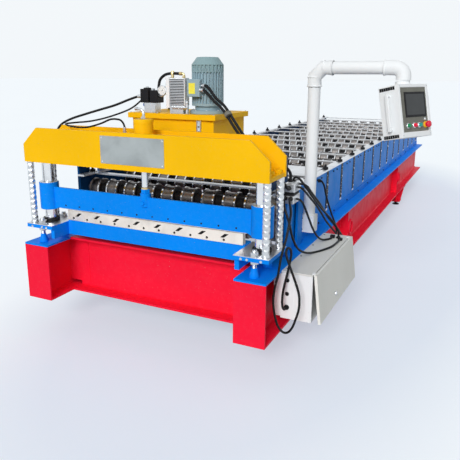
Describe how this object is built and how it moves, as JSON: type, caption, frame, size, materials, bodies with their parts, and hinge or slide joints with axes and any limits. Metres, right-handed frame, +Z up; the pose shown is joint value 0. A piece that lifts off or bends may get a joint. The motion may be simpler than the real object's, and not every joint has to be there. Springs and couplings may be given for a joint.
{
  "type": "roll forming machine",
  "caption": "Roll forming line for roof sheet: driven rollers between long side walls on a beam base, with a hydraulic shear at the exit, oil unit, control box and cabinet.",
  "frame": {"origin": "on the floor, at the middle of the machine's box seen from above, cords left out", "axes": "+Z up, +Y from the shear along the machine to the end where the sheet goes in, +X to the side with the control box and the cabinet"},
  "size_m": [2.5112, 7.15, 1.905],
  "materials": {
    "red_paint": "gloss",
    "blue_paint": "gloss",
    "yellow_paint": "gloss",
    "bright_steel": "polished",
    "dark_steel": "satin",
    "white_paint": "satin",
    "beige_paint": "satin",
    "motor_paint": "satin",
    "black_rubber": "matt"
  },
  "bodies": {
    "machine_frame": {"cabinet_body": "white_paint", "cable_loop": "black_rubber", "cable_on_cabinet": "black_rubber", "cable_on_wall": "black_rubber", "cable_to_cabinet": "black_rubber", "control_post": "white_paint", "cross_beam_1": "red_paint", "cross_beam_2": "red_paint", "cross_beam_3": "red_paint", "cut_valve": "dark_steel", "front_cross_beam": "red_paint", "guide_column_left": "bright_steel", "guide_column_right": "bright_steel", "hose_left": "black_rubber", "hose_press": "black_rubber", "left_base_beam": "red_paint", "left_side_wall": "blue_paint", "leg_back_left": "red_paint", "leg_back_right": "red_paint", "leg_front_left": "red_paint", "leg_front_right": "red_paint", "lower_blade": "bright_steel", "lower_roller_bank_1": "dark_steel", "lower_roller_bank_2": "dark_steel", "lower_roller_bank_3": "dark_steel", "lower_shear_beam": "blue_paint", "oil_cooler": "dark_steel", "oil_tank": "yellow_paint", "press_cylinder": "yellow_paint", "pump_motor": "motor_paint", "right_base_beam": "red_paint", "right_side_wall": "blue_paint", "shear_shelf_left": "blue_paint", "shear_shelf_right": "blue_paint", "tank_stand": "blue_paint", "tie_bar_frame": "bright_steel", "tie_rod_back_left": "bright_steel", "tie_rod_back_right": "bright_steel", "tie_rod_front_left": "bright_steel", "tie_rod_front_right": "bright_steel", "top_beam": "yellow_paint", "valve_block": "dark_steel"},
    "shear_ram": {"shear_ram": "blue_paint"},
    "cabinet_door": {"cabinet_door": "beige_paint"},
    "control_box": {"control_box": "white_paint"},
    "upper_roller_01": {"upper_roller_01": "bright_steel"},
    "upper_roller_02": {"upper_roller_02": "bright_steel"},
    "upper_roller_03": {"upper_roller_03": "bright_steel"},
    "upper_roller_04": {"upper_roller_04": "bright_steel"},
    "upper_roller_05": {"upper_roller_05": "bright_steel"},
    "upper_roller_06": {"upper_roller_06": "bright_steel"},
    "upper_roller_07": {"upper_roller_07": "bright_steel"},
    "upper_roller_08": {"upper_roller_08": "bright_steel"},
    "upper_roller_09": {"upper_roller_09": "bright_steel"},
    "upper_roller_10": {"upper_roller_10": "bright_steel"},
    "upper_roller_11": {"upper_roller_11": "bright_steel"},
    "upper_roller_12": {"upper_roller_12": "bright_steel"},
    "upper_roller_13": {"upper_roller_13": "bright_steel"},
    "upper_roller_14": {"upper_roller_14": "bright_steel"},
    "upper_roller_15": {"upper_roller_15": "bright_steel"}
  },
  "joints": [
    {"name": "shear_ram_slide", "type": "slide", "parent": "machine_frame", "child": "shear_ram", "axis": [0, 0, 1], "range_m": [0, 0.08]},
    {"name": "cabinet_door_hinge", "type": "hinge", "parent": "machine_frame", "child": "cabinet_door", "pos_m": [0.74748, -3.325, 0.662], "axis": [0, -1, 0], "range_deg": [-7, 100]},
    {"name": "control_box_swivel", "type": "hinge", "parent": "machine_frame", "child": "control_box", "pos_m": [1.05578, -2.675, 1.765], "axis": [0, 0, 1], "range_deg": [-90, 60]},
    {"name": "upper_roller_01_spin", "type": "hinge", "parent": "machine_frame", "child": "upper_roller_01", "pos_m": [-0.34952, -2.955, 0.955], "axis": [1, 0, 0], "continuous": true},
    {"name": "upper_roller_02_spin", "type": "hinge", "parent": "machine_frame", "child": "upper_roller_02", "pos_m": [-0.34952, -2.5025, 0.955], "axis": [1, 0, 0], "continuous": true},
    {"name": "upper_roller_03_spin", "type": "hinge", "parent": "machine_frame", "child": "upper_roller_03", "pos_m": [-0.34952, -2.05, 0.955], "axis": [1, 0, 0], "continuous": true},
    {"name": "upper_roller_04_spin", "type": "hinge", "parent": "machine_frame", "child": "upper_roller_04", "pos_m": [-0.34952, -1.5975, 0.955], "axis": [1, 0, 0], "continuous": true},
    {"name": "upper_roller_05_spin", "type": "hinge", "parent": "machine_frame", "child": "upper_roller_05", "pos_m": [-0.34952, -1.145, 0.955], "axis": [1, 0, 0], "continuous": true},
    {"name": "upper_roller_06_spin", "type": "hinge", "parent": "machine_frame", "child": "upper_roller_06", "pos_m": [-0.34952, -0.6925, 0.955], "axis": [1, 0, 0], "continuous": true},
    {"name": "upper_roller_07_spin", "type": "hinge", "parent": "machine_frame", "child": "upper_roller_07", "pos_m": [-0.34952, -0.24, 0.955], "axis": [1, 0, 0], "continuous": true},
    {"name": "upper_roller_08_spin", "type": "hinge", "parent": "machine_frame", "child": "upper_roller_08", "pos_m": [-0.34952, 0.2125, 0.955], "axis": [1, 0, 0], "continuous": true},
    {"name": "upper_roller_09_spin", "type": "hinge", "parent": "machine_frame", "child": "upper_roller_09", "pos_m": [-0.34952, 0.665, 0.955], "axis": [1, 0, 0], "continuous": true},
    {"name": "upper_roller_10_spin", "type": "hinge", "parent": "machine_frame", "child": "upper_roller_10", "pos_m": [-0.34952, 1.1175, 0.955], "axis": [1, 0, 0], "continuous": true},
    {"name": "upper_roller_11_spin", "type": "hinge", "parent": "machine_frame", "child": "upper_roller_11", "pos_m": [-0.34952, 1.57, 0.955], "axis": [1, 0, 0], "continuous": true},
    {"name": "upper_roller_12_spin", "type": "hinge", "parent": "machine_frame", "child": "upper_roller_12", "pos_m": [-0.34952, 2.0225, 0.955], "axis": [1, 0, 0], "continuous": true},
    {"name": "upper_roller_13_spin", "type": "hinge", "parent": "machine_frame", "child": "upper_roller_13", "pos_m": [-0.34952, 2.475, 0.955], "axis": [1, 0, 0], "continuous": true},
    {"name": "upper_roller_14_spin", "type": "hinge", "parent": "machine_frame", "child": "upper_roller_14", "pos_m": [-0.34952, 2.9275, 0.955], "axis": [1, 0, 0], "continuous": true},
    {"name": "upper_roller_15_spin", "type": "hinge", "parent": "machine_frame", "child": "upper_roller_15", "pos_m": [-0.34952, 3.38, 0.955], "axis": [1, 0, 0], "continuous": true}
  ],
  "couplings": [
    {"joint": "upper_roller_02_spin", "follows": "upper_roller_01_spin", "ratio": 1},
    {"joint": "upper_roller_03_spin", "follows": "upper_roller_01_spin", "ratio": 1},
    {"joint": "upper_roller_04_spin", "follows": "upper_roller_01_spin", "ratio": 1},
    {"joint": "upper_roller_05_spin", "follows": "upper_roller_01_spin", "ratio": 1},
    {"joint": "upper_roller_06_spin", "follows": "upper_roller_01_spin", "ratio": 1},
    {"joint": "upper_roller_07_spin", "follows": "upper_roller_01_spin", "ratio": 1},
    {"joint": "upper_roller_08_spin", "follows": "upper_roller_01_spin", "ratio": 1},
    {"joint": "upper_roller_09_spin", "follows": "upper_roller_01_spin", "ratio": 1},
    {"joint": "upper_roller_10_spin", "follows": "upper_roller_01_spin", "ratio": 1},
    {"joint": "upper_roller_11_spin", "follows": "upper_roller_01_spin", "ratio": 1},
    {"joint": "upper_roller_12_spin", "follows": "upper_roller_01_spin", "ratio": 1},
    {"joint": "upper_roller_13_spin", "follows": "upper_roller_01_spin", "ratio": 1},
    {"joint": "upper_roller_14_spin", "follows": "upper_roller_01_spin", "ratio": 1},
    {"joint": "upper_roller_15_spin", "follows": "upper_roller_01_spin", "ratio": 1}
  ]
}
